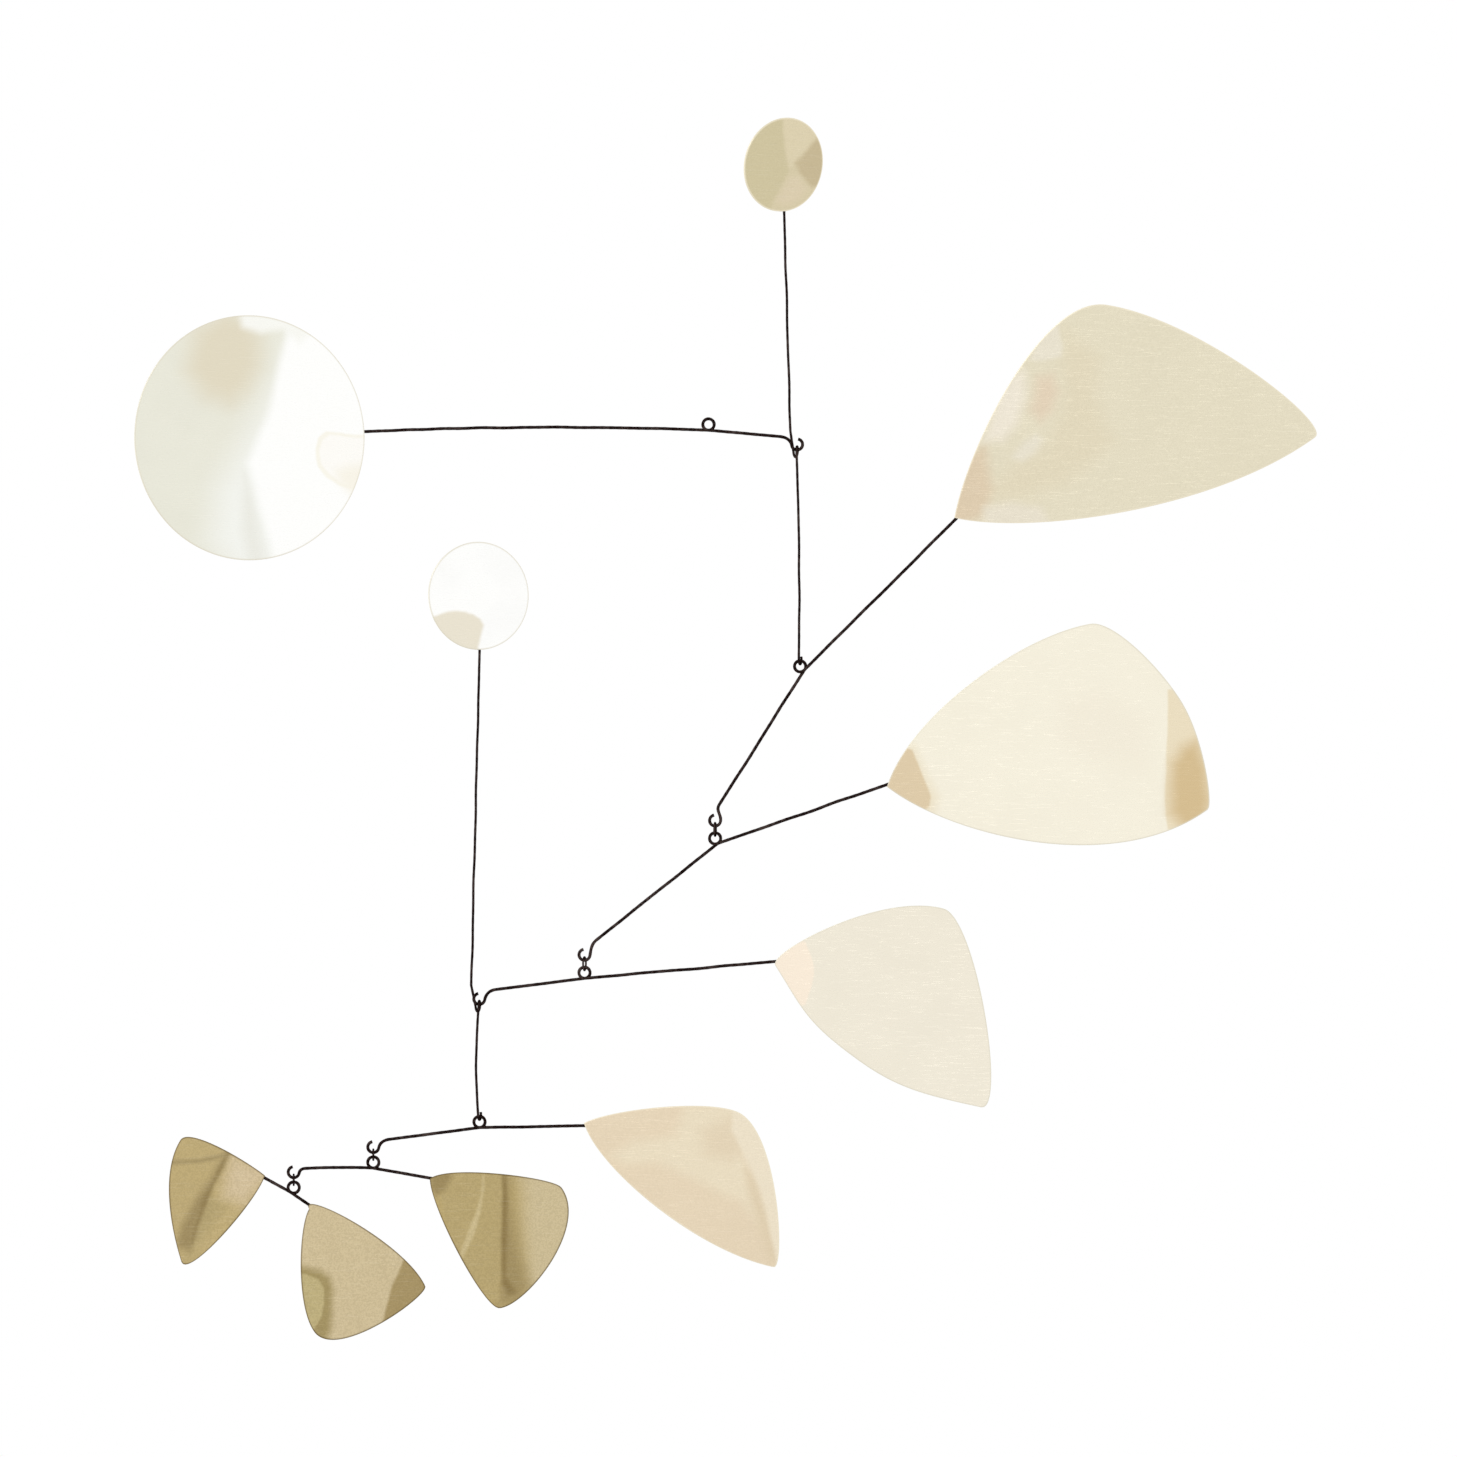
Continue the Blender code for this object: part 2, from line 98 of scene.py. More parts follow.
def middle(hole, wire):
    """Radius to the middle of a wire that is bent round a clear hole."""
    return (hole + wire) / 2


def arc(centre, radius, first, last):
    """Centre plus radius times the direction, from one angle to another in even steps."""
    steps = math.ceil(abs(last - first) / 360 * ARC_STEPS)
    return centre + radius * direction(np.linspace(first, last, steps + 1))


def stretch(start, end, bow):
    """Straight from start to end, plus bow times 4 t (1 - t). The first point is left out."""
    steps = math.ceil(np.linalg.norm(end - start) / WIRE_STEP)
    t = np.linspace(0, 1, steps + 1)[1:, None]
    return start + (end - start) * t + bow * 4 * t * (1 - t)


def cubic(handles, steps):
    """A Bezier cubic through its four handles: the sum of the handles times their shares."""
    t = np.linspace(0, 1, steps + 1)[:, None]
    shares = (1 - t) ** 3, 3 * t * (1 - t) ** 2, 3 * t**2 * (1 - t), t**3
    return sum(share * handle for share, handle in zip(shares, handles))


def hook_end(start, end, side):
    """Eye, straight stretch, neck that dips, and the open bowl of the hook up to its tip."""
    centre = at(end.across, end.up)
    mirror = np.array([side, 1, 1])
    radius = middle(HOOK_HOLE, ARM_WIRE)
    bowl = centre + mirror * arc(np.zeros(3), radius, HOOK_START, HOOK_TIP - 360)
    neck = centre + at(end.neck_across, end.neck_up)
    leaving = (neck - start) / np.linalg.norm(neck - start)
    falling = direction(HOOK_START - 90)[0] * mirror
    pull = NECK_PULL * np.linalg.norm(bowl[0] - neck)
    dip = cubic((neck, neck + leaving * pull, bowl[0] - falling * pull, bowl[0]), NECK_STEPS)
    return np.concatenate([stretch(start, neck, at(0, end.bow)), dip[1:-1], bowl])


def plate_end(start, end, turn):
    """Eye, straight stretch, and the tail behind the plate, turned forwards as the plate is."""
    far = at(end.across, end.up)
    heading = (far - start) / np.linalg.norm(far - start)
    slant = math.radians(turn)
    tail = heading * math.cos(slant) - np.array([0, math.sin(slant), 0])
    return np.concatenate([stretch(start, far, at(0, end.bow)), stretch(far, far + tail * TAIL, 0)])


def tangent_angle(end, radius, side):
    """Angle on the eye where the straight wire from one end meets its underside."""
    target = end.across + end.neck_across, end.up + end.neck_up
    away = math.degrees(math.acos(radius / math.hypot(*target)))
    return math.degrees(math.atan2(target[1], target[0])) - side * away


def level_path(arm, turn):
    """Right end, once round the eye, left end. Where the strands cross they stand apart in Y
    by a wire and a gap, and come back into line over the crossing's length."""
    right, left, hole = arm
    radius = middle(hole, ARM_WIRE)
    first, last = tangent_angle(right, radius, 1), tangent_angle(left, radius, -1)
    sweep = (first - last) % 360
    sweep += 360 if sweep < 180 else 0
    eye = arc(np.zeros(3), radius, first, first - sweep)
    start, stop = eye[0], eye[-1]
    right_part = plate_end(start, right, 0) if right.kind == PLATE else hook_end(start, right, -1)
    left_part = plate_end(stop, left, turn) if left.kind == PLATE else hook_end(stop, left, 1)
    apart = np.array([0, (ARM_WIRE + GAP) / 2, 0])
    for part, beside, offset in ((right_part, start, -apart), (left_part, stop, apart)):
        near = 1 - np.linalg.norm(part - beside, axis=1) / CROSSING
        part += offset * np.maximum(0, near)[:, None]
    eye = eye + apart * np.linspace(-1, 1, len(eye))[:, None]
    return np.concatenate([right_part[::-1], eye, left_part])


def length_along(path):
    """Length from the start of the path to each of its points."""
    return np.concatenate([[0], np.cumsum(np.linalg.norm(np.diff(path, axis=0), axis=1))])


def hand_bent(path, across, seed, ends):
    """The path, waved a little: plus the wave's depth times the mean of four seeded sine
    waves of its length, square to across. It fades out near the eye and near the ends, where
    other pieces are close."""
    chance = np.random.default_rng(seed)
    pitch = chance.uniform(*WAVE_PITCH, (WAVES, 1))
    phase = chance.uniform(0, 2 * np.pi, (WAVES, 1))
    wave = np.sin(2 * np.pi * length_along(path) / pitch + phase).mean(axis=0)
    clear = [np.linalg.norm(path - end, axis=1) for end in (np.zeros(3), *ends)]
    fade = np.clip((np.min(clear, axis=0) - WAVE_CLEAR / 2) / WAVE_CLEAR, 0, 1)
    heading = np.gradient(path, axis=0)
    square = np.cross(heading / np.linalg.norm(heading, axis=1)[:, None], across)
    return path + square * (WAVE_DEPTH * wave * fade)[:, None]


def evenly(path, step):
    """The path again, with points at even distances along it."""
    along = length_along(path)
    keep = np.concatenate([[True], np.diff(along) > SAME_PLACE])
    where = np.linspace(0, along[-1], math.ceil(along[-1] / step) + 1)
    return np.stack([np.interp(where, along[keep], path[keep, k]) for k in range(3)], axis=-1)


def skin(name, rings, caps=True):
    """A closed surface through rings[r, n]: each ring is joined to the next by four-sided
    faces, and the first and last close on their own middle, or on each other without caps."""
    count, sides, _ = rings.shape
    points = rings.reshape(-1, 3)
    here = np.arange(sides)
    after = (here + 1) % sides
    rows = np.arange(count - 1 if caps else count)[:, None]
    low, high = rows * sides, (rows + 1) % count * sides
    faces = np.stack([low + here, low + after, high + after, high + here], axis=-1).reshape(-1, 4)
    tips = []
    if caps:
        points = np.concatenate([points, rings[:1].mean(axis=1), rings[-1:].mean(axis=1)])
        start, end = np.full(sides, count * sides), np.full(sides, count * sides + 1)
        last = (count - 1) * sides
        tips = np.concatenate([
            np.stack([after, here, start], axis=-1),
            np.stack([last + here, last + after, end], axis=-1),
        ]).tolist()
    corners = (points - points.mean(axis=0))[faces]
    volume = np.sum(corners[:, 0] * np.cross(corners[:, 1], corners[:, 2]))
    volume += np.sum(corners[:, 0] * np.cross(corners[:, 2], corners[:, 3]))
    outward = 1 if volume > 0 else -1
    mesh = bpy.data.meshes.new(name)
    mesh.from_pydata(points.tolist(), [], [f[::outward] for f in faces.tolist() + tips])
    mesh.shade_smooth()
    piece = bpy.data.objects.new(name, mesh)
    bpy.context.scene.collection.objects.link(piece)
    return piece


def once_round(count):
    """Angles of a full turn in even steps."""
    return np.linspace(0, 2 * np.pi, count, endpoint=False)


def wire_rings(path, thickness, level):
    """A ring of points round each point of the path, square to it: the middle plus radius
    times (cos, sin), where the radius swells by a small share of cos 2(angle + pi length /
    pitch). level is a fixed direction near square to the whole path. Each end is closed by
    two smaller rings in the end's own place."""
    path = evenly(path, WIRE_STEP)
    along = np.gradient(path, axis=0)
    along /= np.linalg.norm(along, axis=1)[:, None]
    closing = len(END_SHARES)
    path, along = (np.pad(rows, ((closing, closing), (0, 0)), "edge") for rows in (path, along))
    side = level - along * (along @ level)[:, None]
    side /= np.linalg.norm(side, axis=1)[:, None]
    up = np.cross(along, side)
    angle = once_round(WIRE_SIDES)
    length = np.arange(len(path))[:, None] * WIRE_STEP
    from_end = np.clip((length.max() - length) / TWIST_FADE, 0, 1)
    fade = np.clip(length / TWIST_FADE, 0, 1) * from_end
    swell = TWIST_DEPTH * fade * np.cos(2 * (angle + np.pi * length / TWIST_PITCH))
    radius = thickness / 2 * (1 + swell - TWIST_DEPTH / 2)
    radius[:closing] *= END_SHARES[:, None]
    radius[-closing:] *= END_SHARES[::-1, None]
    spread = np.cos(angle)[:, None] * side[:, None] + np.sin(angle)[:, None] * up[:, None]
    return path[:, None] + radius[:, :, None] * spread


class Value:
    """A number or the output of a node, so that sums on it add Math nodes."""

    def __init__(self, surface, socket):
        self.surface, self.socket = surface, socket

    def worked_out(self, kind, first, second):
        return self.surface.node("ShaderNodeMath", {"operation": kind}, {0: first, 1: second})[0]

    def __add__(self, other):
        return self.worked_out("ADD", self, other)

    def __sub__(self, other):
        return self.worked_out("SUBTRACT", self, other)

    def __rsub__(self, other):
        return self.worked_out("SUBTRACT", other, self)

    def __mul__(self, other):
        return self.worked_out("MULTIPLY", self, other)

    __radd__, __rmul__ = __add__, __mul__


class Surface:
    """A material with a Principled shader, built up node by node."""

    def __init__(self, name):
        self.material = bpy.data.materials.new(name)
        self.material.use_nodes = True
        self.tree = self.material.node_tree
        self.shader = self.tree.nodes["Principled BSDF"]
        self.place = self.node("ShaderNodeTexCoord", {}, {})["Object"]

    def feed(self, socket, value):
        if isinstance(value, Value):
            self.tree.links.new(value.socket, socket)
        else:
            socket.default_value = value

    def node(self, kind, settings, inputs):
        """Any node: its settings first, then its sockets. Gives its outputs by name and number."""
        new = self.tree.nodes.new(kind)
        for name, value in settings.items():
            setattr(new, name, value)
        for name, value in inputs.items():
            self.feed(new.inputs[name], value)
        return {
            **{i: Value(self, out) for i, out in enumerate(new.outputs)},
            **{out.name: Value(self, out) for out in new.outputs if out.enabled},
        }

    def noise(self, scale, detail, stretch_by=(1, 1, 1), turned=0):
        """Cloudy noise from 0 to 1, stretched along a direction that is turned about Y."""
        place = self.node(
            "ShaderNodeMapping", {},
            {"Vector": self.place, "Rotation": (0, math.radians(turned), 0), "Scale": stretch_by},
        )["Vector"]
        return self.node(
            "ShaderNodeTexNoise", {}, {"Vector": place, "Scale": scale, "Detail": detail}
        )[0]

    def between(self, value, low, high):
        """0 below low, 1 above high, and a smooth step between them."""
        return self.node(
            "ShaderNodeMapRange", {"interpolation_type": "SMOOTHSTEP"},
            {"Value": value, "From Min": low, "From Max": high},
        )[0]

    def mix(self, share, first, second):
        """One colour going over into another, as far as the share says."""
        return self.node(
            "ShaderNodeMix", {"data_type": "RGBA"}, {0: share, 6: first, 7: second}
        )[2]

    def bump(self, height, distance):
        return self.node(
            "ShaderNodeBump", {}, {"Height": height, "Distance": distance}
        )["Normal"]

    def finish(self, **inputs):
        for name, value in inputs.items():
            self.feed(self.shader.inputs[name.replace("_", " ")], value)
        return self.material


def seen(red, green, blue):
    """A colour as the eye sees it, from 0 to 255, as the linear colour of a node."""
    parts = [c / 255 for c in (red, green, blue)]
    return tuple(c / 12.92 if c < 0.04045 else ((c + 0.055) / 1.055) ** 2.4 for c in parts) + (1,)


DARK_SCALE = (25, 16, 15)
LIGHT_SCALE = (46, 34, 32)
RUBBED_IRON = (84, 71, 67)
SCALE_HEIGHT = 0.00004


def iron_finish():
    """Annealed iron: dark brown scale, rubbed to a dull grey where the wire was handled."""
    iron = Surface("annealed_iron")
    clouds = iron.noise(scale=90, detail=4)
    scale = iron.noise(scale=900, detail=3)
    rubbed = iron.between(clouds + 0.5 * scale, low=0.70, high=0.95)
    light = iron.between(scale, low=0.35, high=0.65)
    brown = iron.mix(light, seen(*DARK_SCALE), seen(*LIGHT_SCALE))
    return iron.finish(
        Base_Color=iron.mix(rubbed * 0.5, brown, seen(*RUBBED_IRON)),
        Metallic=1.0,
        Roughness=0.52 - 0.14 * rubbed + 0.1 * scale,
        Specular_Tint=(0.10, 0.08, 0.08, 1),
        Normal=iron.bump(scale, SCALE_HEIGHT),
    )


IRON = iron_finish()


def put(piece, body, material, node):
    """Give a piece its finish, let it ride on its body and stand for its solid."""
    piece.data.materials.append(material)
    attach(piece, body)
    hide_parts(node)


LEVEL_WIRES = {
    "top_arm": Arm(
        End(HOOK, 0.0443, -0.0100, -0.0088, 0.0040),
        End(PLATE, -0.1726, -0.0036, bow=0.0018), HANGING_EYE_HOLE,
    ),
    "leaf_1_arm": Arm(
        End(PLATE, 0.0763, 0.0721), End(HOOK, -0.0425, -0.0771, 0.0020, 0.0078), EYE_HOLE,
    ),
    "leaf_2_arm": Arm(
        End(PLATE, 0.0848, 0.0265), End(HOOK, -0.0653, -0.0582, 0.0061, 0.0075), EYE_HOLE,
    ),
    "leaf_3_arm": Arm(
        End(PLATE, 0.0952, 0.0056), End(HOOK, -0.0526, -0.0131, 0.0083, 0.0047), EYE_HOLE,
    ),
    "leaf_4_arm": Arm(
        End(PLATE, 0.0508, -0.0019), End(HOOK, -0.0531, -0.0126, 0.0081, 0.0039), EYE_HOLE,
    ),
    "leaf_5_arm": Arm(
        End(PLATE, 0.0275, -0.0077),
        End(HOOK, -0.0398, -0.0049, 0.0058, 0.0019, bow=0.0004), EYE_HOLE,
    ),
    "bottom_arm": Arm(End(PLATE, 0.0073, -0.0084), End(PLATE, -0.0138, 0.0044), EYE_HOLE),
}
LARGE_DISC_TURN = 20.6
ACROSS_ARM = np.array([0, 1, 0])
for seed, (body, arm) in enumerate(LEVEL_WIRES.items()):
    path = evenly(level_path(arm, LARGE_DISC_TURN if body == "top_arm" else 0), WIRE_STEP)
    ends = [at(end.across + end.neck_across, end.up + end.neck_up) for end in (arm.right, arm.left)]
    path = hand_bent(path, ACROSS_ARM, seed, [*ends, path[0], path[-1]]) + EYE_AT[body]
    piece = skin(f"{body}_bent_wire", wire_rings(path, ARM_WIRE, ACROSS_ARM))
    put(piece, body, IRON, f"{body}_wire")

# Upright wires. Two lengths of thinner iron wire, 1.3 mm: a disc is soldered to the top, the
# eye is turned round the level arm's hook near the middle, and the foot is bent up into a
# small hook. Eye and hook stand across the level arm and are a little askew.
UPRIGHT_WIRE = 0.0013
UPRIGHT_HOOK_TIP = 25
UPRIGHT_TURN = 15
UPRIGHT_SEED = 20
FRONT_SHARE = 0.75
LOOP_START = 180
Upright = namedtuple("Upright", "across up jog_across jog_up hook_across hook_down bow lean")
UPRIGHTS = {
    "upper_upright": Upright(-0.0065, 0.1205, -0.0034, 0.0105, 0.0015, 0.1036, 0.0007, 17),
    "lower_upright": Upright(0.0002, 0.1782, -0.0040, 0.0105, 0.0001, 0.0542, -0.0010, 0),
}
SKEW = math.radians(UPRIGHT_TURN)
BACK = np.array([math.sin(SKEW), math.cos(SKEW), 0])
BESIDE = np.array([math.cos(SKEW), -math.sin(SKEW), 0])


def upright_loop(centre, radius, last):
    """Part of a circle across the level arm: centre plus radius times (cos back + sin up)."""
    flat = arc(np.zeros(3), radius, LOOP_START, last)
    return centre + flat[:, :1] * BACK + flat[:, 2:] * np.array([0, 0, 1])


def upright_path(sizes):
    """Down from the plate, once round the eye with a pitch of a wire and a gap, to the hook."""
    eye = upright_loop(np.zeros(3), middle(EYE_HOLE, UPRIGHT_WIRE), LOOP_START + 360)
    pitch = (UPRIGHT_WIRE + GAP) * np.linspace(-FRONT_SHARE, 1 - FRONT_SHARE, len(eye))
    eye = eye + pitch[:, None] * BESIDE
    foot = at(sizes.hook_across, -sizes.hook_down)
    bowl = upright_loop(foot, middle(HOOK_HOLE, UPRIGHT_WIRE), 360 + UPRIGHT_HOOK_TIP)
    front = np.array([0, eye[0][1], 0])
    plate = front + at(sizes.across, sizes.up)
    tail = plate + TAIL * direction(90 - sizes.lean)
    jog = front + at(sizes.jog_across, sizes.jog_up)
    down = stretch(eye[-1], bowl[0], at(sizes.bow, 0))
    spans = (tail[0], plate), (plate, jog), (jog, eye[0])
    shaft = [stretch(upper, lower, 0) for upper, lower in spans]
    return np.concatenate([tail, *shaft, eye[1:], down, bowl[1:]]), plate


UPRIGHT_PLATE_AT = {}
for seed, (body, sizes) in enumerate(UPRIGHTS.items(), start=UPRIGHT_SEED):
    path, plate_at = upright_path(sizes)
    UPRIGHT_PLATE_AT[body] = plate_at + EYE_AT[body]
    path = evenly(path, WIRE_STEP)
    path = hand_bent(path, BACK, seed, [plate_at, path[0], path[-1]]) + EYE_AT[body]
    piece = skin(f"{body}_bent_wire", wire_rings(path, UPRIGHT_WIRE, BESIDE))
    put(piece, body, IRON, f"{body}_wire")

# Jump rings. Four small rings of 1 mm iron wire, closed end to end, each between a hook and
# the eye of the arm below it. Two are larger and stand a little askew.
RING_WIRE = 0.0010
LARGE_RING_SLACK = 0.0015
SMALL_RING_SLACK = 0.0002
RING_STEPS = 96
RING_SIDES = 24
RINGS = {
    "ring_1": ("leaf_1_arm", LARGE_RING_SLACK, 8),
    "ring_2": ("leaf_2_arm", LARGE_RING_SLACK, 12),
    "ring_3": ("leaf_4_arm", SMALL_RING_SLACK, 0),
    "ring_4": ("leaf_5_arm", SMALL_RING_SLACK, 0),
}


def ring_rows(radius, thickness, turn):
    """A torus in an upright plane: (radius + r cos b) times the direction of a, and r sin b
    square to it, with the whole plane turned about Z."""
    a, b = np.meshgrid(once_round(RING_STEPS), once_round(RING_SIDES), indexing="ij")
    out = radius + thickness / 2 * np.cos(b)
    slant = math.radians(90 - turn)
    flat, off = out * np.cos(a), thickness / 2 * np.sin(b)
    return np.stack([
        flat * math.cos(slant) - off * math.sin(slant),
        flat * math.sin(slant) + off * math.cos(slant),
        out * np.sin(a),
    ], axis=-1)


for name, (body, slack, turn) in RINGS.items():
    hook = LEVEL_WIRES[body].left
    radius = middle(2 * ARM_WIRE + 3 * GAP + slack, RING_WIRE)
    drop = middle(HOOK_HOLE, ARM_WIRE) + radius - (ARM_WIRE + RING_WIRE) / 2 - GAP
    centre = EYE_AT[body] + at(hook.across, hook.up - drop)
    piece = skin(f"{name}_jump_ring", centre + ring_rows(radius, RING_WIRE, turn), caps=False)
    put(piece, body, IRON, name)

# Discs. Three round plates of 0.8 mm brass sheet, cut with shears, filed round at the rim
# and polished. Each is soldered by its rim to the front of its wire, turned a little away
# from the front, and slightly bent.
SHEET = 0.0008
RIM_ROUND = 0.0003
FOLD_EASE = 0.001
DISC_POINTS = 260
PLATE_ROWS = 70
MIDDLE_SHARE = 0.01
RIM_STEPS = 9
FAR_FROM_RIM = 1
HOLLOWS = 5
HOLLOW_PITCH = 0.035
PITCH_SPREAD = (0.7, 1.6)
HOLLOW_DEPTH = 0.00022
MM_IN_METRE = 1000
Bend = namedtuple("Bend", "direction start end rise curl", defaults=(True,))
Disc = namedtuple("Disc", "radius turn lean rim brush bend")
DISC_SHAPES = {
    "large_disc": Disc(0.0611, LARGE_DISC_TURN, 0, 3.2, 20, Bend(180, -0.16, 1.0, 0.038)),
    "top_disc": Disc(0.02365, 34, 17, -67.2, 60, Bend(30, 0.17, 1.0, -0.042)),
    "small_disc": Disc(0.0270, 22, 0, -87.4, 100, Bend(225, 0.37, 1.0, 0.037, curl=False)),
}


def bent(points, bend, size):
    """Height of a bent sheet, whose bend is given in shares of its size. Past a curl's start
    it is the rise times the square of the share of its length, and past a fold the share
    itself, eased over two millimetres."""
    heading = math.radians(bend.direction)
    past = points[..., 0] * math.cos(heading) + points[..., 1] * math.sin(heading)
    past, length = past - bend.start * size, (bend.end - bend.start) * size
    if bend.curl:
        return size * bend.rise * (np.maximum(0, past) / length) ** 2
    return size * bend.rise * (past + np.sqrt(past**2 + FOLD_EASE**2)) / 2 / length


def unevenness(points, seed):
    """Gentle hollows of sheet that was flattened by hand: the hollows' depth times the mean of
    five sine waves in seeded directions, each of about the hollows' pitch."""
    chance = np.random.default_rng(seed)
    heading, phase = chance.uniform(0, 2 * np.pi, (2, HOLLOWS, 1, 1))
    pitch = HOLLOW_PITCH * chance.uniform(*PITCH_SPREAD, (HOLLOWS, 1, 1))
    across = points[..., 0] * np.cos(heading) + points[..., 1] * np.sin(heading)
    return HOLLOW_DEPTH / HOLLOWS * np.sum(np.sin(2 * np.pi * across / pitch + phase), axis=0)


def attribute(piece, name, values):
    piece.data.attributes.new(name, "FLOAT", "POINT").data.foreach_set(
        "value", np.asarray(values, np.float32)
    )


def sheet_plate(name, outline, bend, size, place, seed):
    """A plate: its outline, drawn in towards the middle by one share for each row of the
    front, rounded at the rim on a small half oval, and drawn in again on the back; then bent,
    made a little uneven and moved to its place."""
    centre = outline.mean(axis=0)
    reach = np.linalg.norm(outline - centre, axis=1)
    front = np.linspace(MIDDLE_SHARE, 1, PLATE_ROWS)[:-1]
    back = front[::-1]
    slope = np.radians(np.linspace(90, -90, RIM_STEPS))
    share = np.concatenate([front, np.ones(RIM_STEPS), back])
    inset = RIM_ROUND * np.concatenate([front, 1 - np.cos(slope), back])
    height = SHEET * np.concatenate([np.ones_like(front), (1 + np.sin(slope)) / 2, 0 * back])
    scale = share[:, None] - inset[:, None] / reach
    flat = centre + scale[:, :, None] * (outline - centre)
    lift = bent(flat, bend, size) + unevenness(flat, seed) + height[:, None]
    rows = np.concatenate([flat, lift[:, :, None]], axis=-1)
    turned = np.array(place)
    rows = rows @ turned[:3, :3].T + turned[:3, 3]
    piece = skin(name, rows)
    from_rim = ((1 - scale) * reach).ravel()
    attribute(piece, "from_rim", np.concatenate([from_rim, [FAR_FROM_RIM] * 2]))
    return piece


def inside(points, corners):
    """Distance in metres to a closed line of corners in millimetres, positive inside it: to
    the nearest point of any side, with the sign from the number of sides that a ray to the
    right crosses."""
    start = np.asarray(corners)[:, None] / MM_IN_METRE
    side = np.roll(start, -1, axis=0) - start
    away = points[None] - start
    along = np.clip(np.sum(away * side, axis=-1) / np.sum(side**2, axis=-1), 0, 1)
    nearest = np.linalg.norm(away - along[..., None] * side, axis=-1).min(axis=0)
    end = start + side
    straddles = (start[..., 1] > points[:, 1]) != (end[..., 1] > points[:, 1])
    rise = np.where(side[..., 1] == 0, 1, side[..., 1])
    crossing = start[..., 0] + away[..., 1] * side[..., 0] / rise
    inward = np.sum(straddles & (points[:, 0] < crossing), axis=0) % 2
    return nearest * np.where(inward, 1, -1)


# Brass. Each plate has a tone of its own, seen from 0 to 255, and patches of other tones: painted
# reflections, highlights and shade, partly also tarnish. A patch is a closed line of points
# (across, up) from the hanging eye, in millimetres, with the width of its soft edge, also in
# millimetres.
Patch = namedtuple("Patch", "colour soft edge_mm")
CLOUD_SHADE = 0.99
SCRATCH_TONE = (250, 246, 236)
SCRATCH_SHARE = 0.10
SCRATCH_TURN = 37
SPECK_TONE = (96, 78, 44)
SPECK_SHARE = {"pale_brass": 0.012, "brass": 0.05, "old_brass": 0.13}
# Tones of the painted rim line: painted highlight on brass, painted shade on pale and old brass.
RIM_HIGHLIGHT_AND_SHADE_TONE = {"pale_brass": (224, 218, 200), "brass": (240, 231, 208), "old_brass": (88, 70, 38)}
RIM_SHARE = 0.75
RIM_LINE = (0.0002, 0.0010)
PATCH_WANDER = 0.004
GRAIN_HEIGHT = 0.00003


def brass_finish(name, slot, tone, patches, brush, roughness):
    """Polished brass. Painted reflections, highlights and shade, with some tarnish, change the tone
    from patch to patch, a fine grain runs in the direction of the last rubbing, and the filed rim
    has a painted line: a painted highlight on brass, painted shade on pale and old brass."""
    brass = Surface(name)
    clouds = brass.noise(scale=38, detail=5)
    grain = brass.noise(scale=260, detail=3, stretch_by=(1, 1, 14), turned=brush)
    lines = brass.noise(scale=70, detail=2, stretch_by=(1, 1, 60), turned=brush + SCRATCH_TURN)
    scratches = brass.between(lines, low=0.60, high=0.68)
    specks = brass.between(brass.noise(scale=1300, detail=1), low=0.40, high=0.62)
    wander = (clouds - 0.5) * PATCH_WANDER
    shade = seen(*(round(c * CLOUD_SHADE) for c in tone))
    colour = brass.mix(brass.between(clouds, low=0.35, high=0.70), seen(*tone), shade)
    # Each patch paints reflection, highlight and shade into the colour, partly also tarnish.
    for number, painted_light_and_tarnish in enumerate(patches, start=1):
        depth = brass.node("ShaderNodeAttribute", {"attribute_name": f"patch_{number}"}, {})["Fac"]
        half = painted_light_and_tarnish.soft / 2 / MM_IN_METRE
        share = brass.between(depth + wander, -half, half)
        colour = brass.mix(share, colour, seen(*painted_light_and_tarnish.colour))
    colour = brass.mix(scratches * SCRATCH_SHARE, colour, seen(*SCRATCH_TONE))
    colour = brass.mix(specks * SPECK_SHARE[slot], colour, seen(*SPECK_TONE))
    # Painted rim line: a painted highlight on brass, painted shade on pale and old brass.
    rim = brass.node("ShaderNodeAttribute", {"attribute_name": "from_rim"}, {})["Fac"]
    edge = 1 - brass.between(rim, *RIM_LINE)
    colour = brass.mix(edge * RIM_SHARE, colour, seen(*RIM_HIGHLIGHT_AND_SHADE_TONE[slot]))
    return brass.finish(
        Base_Color=colour,
        Metallic=1.0,
        Roughness=roughness + 0.10 * (grain - 0.5) + 0.10 * (clouds - 0.5) - 0.05 * scratches,
        Normal=brass.bump(grain + 0.6 * scratches, GRAIN_HEIGHT),
    )


def facing(wire_at, wire_size, turn=0, lean=0, rim_across=0, rim_up=0):
    """Upright and facing -Y, then turned and leaned, with the plate's own point (rim_across,
    rim_up) a gap in front of the wire's point."""
    turned = (
        Matrix.Rotation(math.radians(lean), 4, "Y")
        @ Matrix.Rotation(math.radians(turn), 4, "Z")
        @ Matrix.Rotation(math.radians(90), 4, "X")
    )
    offset = Vector((-rim_across, -rim_up, wire_size / 2 + GAP))
    return Matrix.Translation(Vector(wire_at)) @ turned @ Matrix.Translation(offset)


